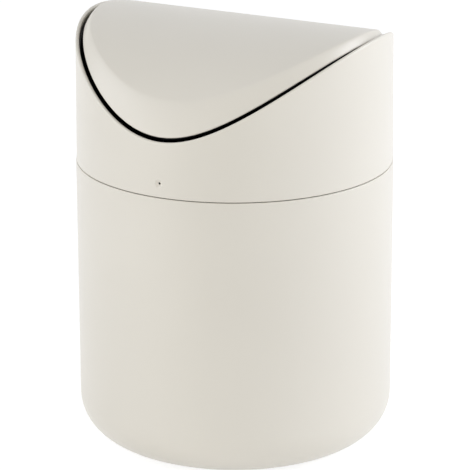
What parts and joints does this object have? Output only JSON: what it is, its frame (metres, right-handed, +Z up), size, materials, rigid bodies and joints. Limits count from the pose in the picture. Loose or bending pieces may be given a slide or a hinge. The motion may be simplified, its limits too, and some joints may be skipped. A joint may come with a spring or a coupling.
{
  "type": "countertop trash can with swing lid",
  "caption": "Small round countertop bin with a painted steel can, a lift-off saddle-cut hood and an arched lid that swings both ways.",
  "frame": {"origin": "centre of the bin's foot, on the worktop", "axes": "+Z up, -Y to the front, where the dimple is, +X along the lid's pins to the right"},
  "size_m": [0.12, 0.12, 0.164],
  "materials": {
    "paint": "satin off-white powder coat",
    "black_plastic": "moulded, matt",
    "foot_rubber": "soft, matt",
    "acetal": "moulded, smooth",
    "pin_steel": "turned"
  },
  "bodies": {
    "can": {"body_shell": "paint", "base_plate": "black_plastic", "foot_ring": "foot_rubber"},
    "hood": {"hood_shell": "paint", "hood_ring": "black_plastic", "bush_left": "acetal", "bush_right": "acetal"},
    "lid": {"lid_cover": "paint", "lid_carrier": "black_plastic", "pin_left": "pin_steel", "pin_right": "pin_steel"}
  },
  "joints": [
    {"name": "hood_lift", "type": "slide", "parent": "can", "child": "hood", "axis": [0, 0, 1], "range_m": [0, 0.04]},
    {"name": "lid_swing", "type": "hinge", "parent": "hood", "child": "lid", "pos_m": [0, 0, 0.1565], "axis": [1, 0, 0], "range_deg": [-74, 82]}
  ]
}
